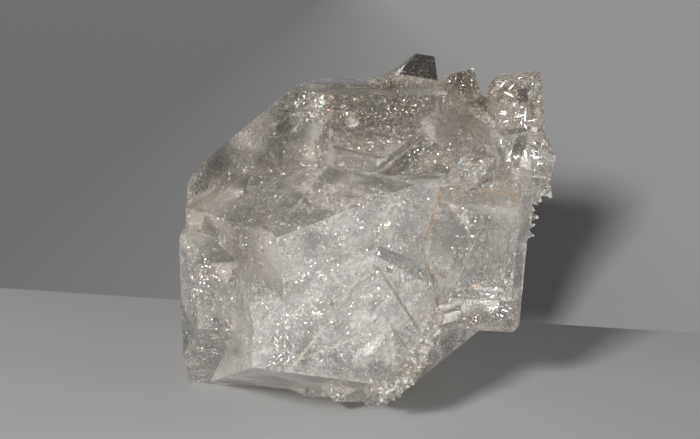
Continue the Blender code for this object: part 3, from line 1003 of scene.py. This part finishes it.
def makePaper():
    info = studioPaper
    size = (info["width"], info["edgeY"] - info["near"], info["thickness"])
    middle = (0, (info["edgeY"] + info["near"]) / 2, -info["thickness"] / 2)
    paper = addSlab(info["name"], size, middle)
    mesh = editing(paper)
    for point in mesh.verts:
        if point.co.y > 0:
            point.co.y += point.co.x * math.tan(info["edgeTurn"])
    bmesh.update_edit_mesh(paper.data)
    bpy.ops.object.mode_set(mode="OBJECT")
    material, _, shader = newMaterial("plain_paper")
    shader.inputs["Base Color"].default_value = (info["grey"], info["grey"], info["grey"], 1)
    shader.inputs["Roughness"].default_value = info["roughness"]
    paper.data.materials.append(material)
    return paper


desk = makeDesk()
paper = makePaper()
print("desk and paper")

# the power of each lamp for the cracks inside, the outer faces and the paper
softLights = (
    dict(name="key", place=keyPlace, size=0.13, glare=False, inside=5.0, faces=3.9, paper=3.6),
    dict(name="fill", place=Vector((0.5, -0.45, 0.4)), size=0.5, glare=True,
         inside=0.95, faces=0.7, paper=0.36),
    dict(name="soft", place=Vector((-0.5, -0.45, 0.25)), size=0.6, glare=True,
         inside=1.15, faces=0.8, paper=0.38),
    dict(name="behind", place=behindPlace, size=0.8, glare=True,
         inside=3.0, faces=0.2, paper=0.0),
)
# each lamp is set up once for each of these, so that the faces let its light in to the cracks
litParts = (
    dict(name="inside", pieces=(desk, paper, shell), state="EXCLUDE", passesFaces=True),
    dict(name="faces", pieces=(shell,), state="INCLUDE", passesFaces=True),
    dict(name="paper", pieces=(paper,), state="INCLUDE", passesFaces=False),
)


def lightGroup(name, pieces, state):
    group = bpy.data.collections.new(name)
    for piece in pieces:
        group.objects.link(piece)
    for member in group.collection_objects:
        member.light_linking.link_state = state
    return group


def addLamp(light, part):
    data = bpy.data.lights.new(light["name"] + "_" + part["name"], "AREA")
    data.size = light["size"]
    data.energy = light[part["name"]]
    lamp = bpy.data.objects.new(data.name, data)
    lamp.location = light["place"]
    lamp.rotation_euler = (lookPoint - lamp.location).to_track_quat("-Z", "Y").to_euler()
    lamp.visible_transmission = False    # seen through the quartz it would be a white patch
    lamp.visible_glossy = light["glare"] or part["name"] != "faces"
    lamp.light_linking.receiver_collection = lightGroup(data.name, part["pieces"], part["state"])
    if part["passesFaces"]:
        lamp.light_linking.blocker_collection = lightGroup("past_the_faces", (shell,), "EXCLUDE")
    bpy.context.scene.collection.objects.link(lamp)


roomLight = dict(
    name="room_light", energy=3.9, angle=math.radians(7), way=Vector((0.27, 0.85, -0.25)),
)


def addRoomLight():
    # even light on the desk, from the same side as the key
    data = bpy.data.lights.new(roomLight["name"], "SUN")
    data.energy = roomLight["energy"]
    data.angle = roomLight["angle"]
    lamp = bpy.data.objects.new(data.name, data)
    lamp.rotation_euler = roomLight["way"].to_track_quat("-Z", "Y").to_euler()
    lamp.light_linking.receiver_collection = lightGroup(data.name, (desk,), "INCLUDE")
    bpy.context.scene.collection.objects.link(lamp)


softRoom = dict(
    steps=((0.0, (0.21, 0.21, 0.215)), (0.25, (0.17, 0.17, 0.172)), (0.8, (0.1, 0.1, 0.1))),
    toTheRight=0.8,    # how much brighter it gets to the right
)


def makeRoom():
    world = bpy.data.worlds.new("soft_room")
    world.use_nodes = True
    tree = world.node_tree
    place = addNode(tree, "ShaderNodeTexCoord").outputs["Generated"]
    split = addNode(tree, "ShaderNodeSeparateXYZ")
    tree.links.new(place, split.inputs["Vector"])
    height = ramp(tree, split.outputs["Z"], softRoom["steps"])
    lean = mathNode(tree, "MULTIPLY_ADD", split.outputs["X"], softRoom["toTheRight"], 1.0)
    tone = mixColour(tree, 1.0, height, lean, "MULTIPLY")
    tree.links.new(tone, tree.nodes["Background"].inputs["Color"])
    tree.nodes["Background"].inputs["Strength"].default_value = 1.0
    bpy.context.scene.world = world


def addCamera():
    data = bpy.data.cameras.new("main_camera")
    data.lens = view["lens"]
    data.sensor_width = view["sensor"]
    camera = bpy.data.objects.new("main_camera", data)
    camera.location = lookPoint + toEye * view["distance"]
    camera.rotation_euler = (lookPoint - camera.location).to_track_quat("-Z", "Y").to_euler()
    bpy.context.scene.collection.objects.link(camera)
    bpy.context.scene.camera = camera


for light in softLights:
    for part in litParts:
        addLamp(light, part)
addRoomLight()
makeRoom()
addCamera()
look = bpy.context.scene.view_settings
look.view_transform = "Standard"
look.exposure = 0.13
look.gamma = 0.88    # a little more contrast
print("lamps, room and camera")
